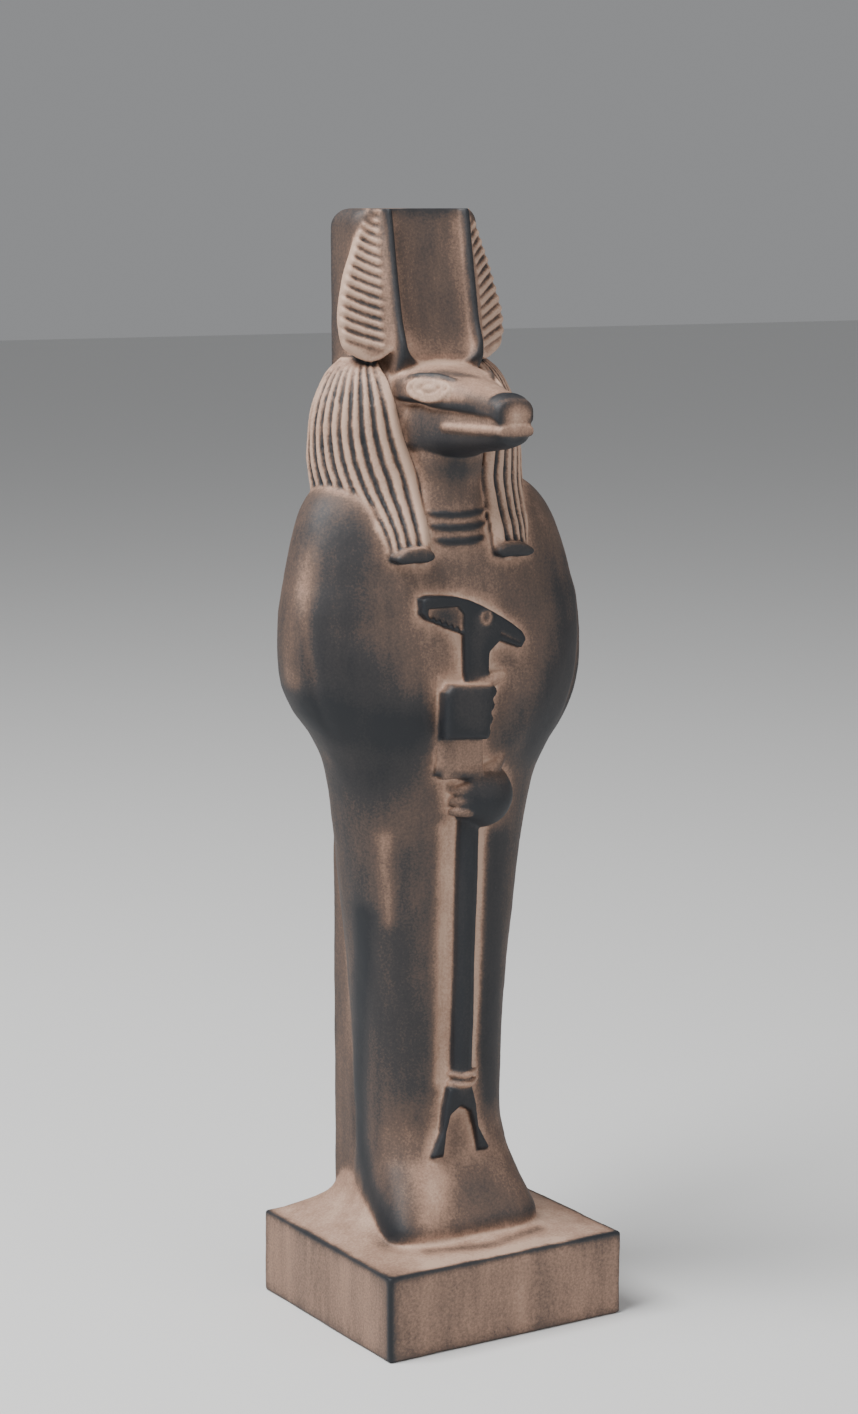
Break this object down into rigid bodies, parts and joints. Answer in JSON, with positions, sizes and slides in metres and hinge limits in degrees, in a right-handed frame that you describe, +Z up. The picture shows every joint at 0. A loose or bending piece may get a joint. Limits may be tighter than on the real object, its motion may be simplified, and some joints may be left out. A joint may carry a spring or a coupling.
{
  "type": "anubis statue",
  "caption": "Cast souvenir statue of a standing jackal-headed figure in a shroud, holding a sceptre, with a back slab and a square base.",
  "frame": {"origin": "centre of the base's underside", "axes": "+Z up along the figure, -Y towards the front, where the muzzle points, +X towards the figure's left hand"},
  "size_m": [0.0914, 0.0709, 0.3],
  "materials": {
    "cast_stone": "blue-black cast surface under a dusty pinkish-tan wash, worn and speckled, dull"
  },
  "bodies": {
    "root": {"statue": "cast_stone"}
  },
  "joints": []
}
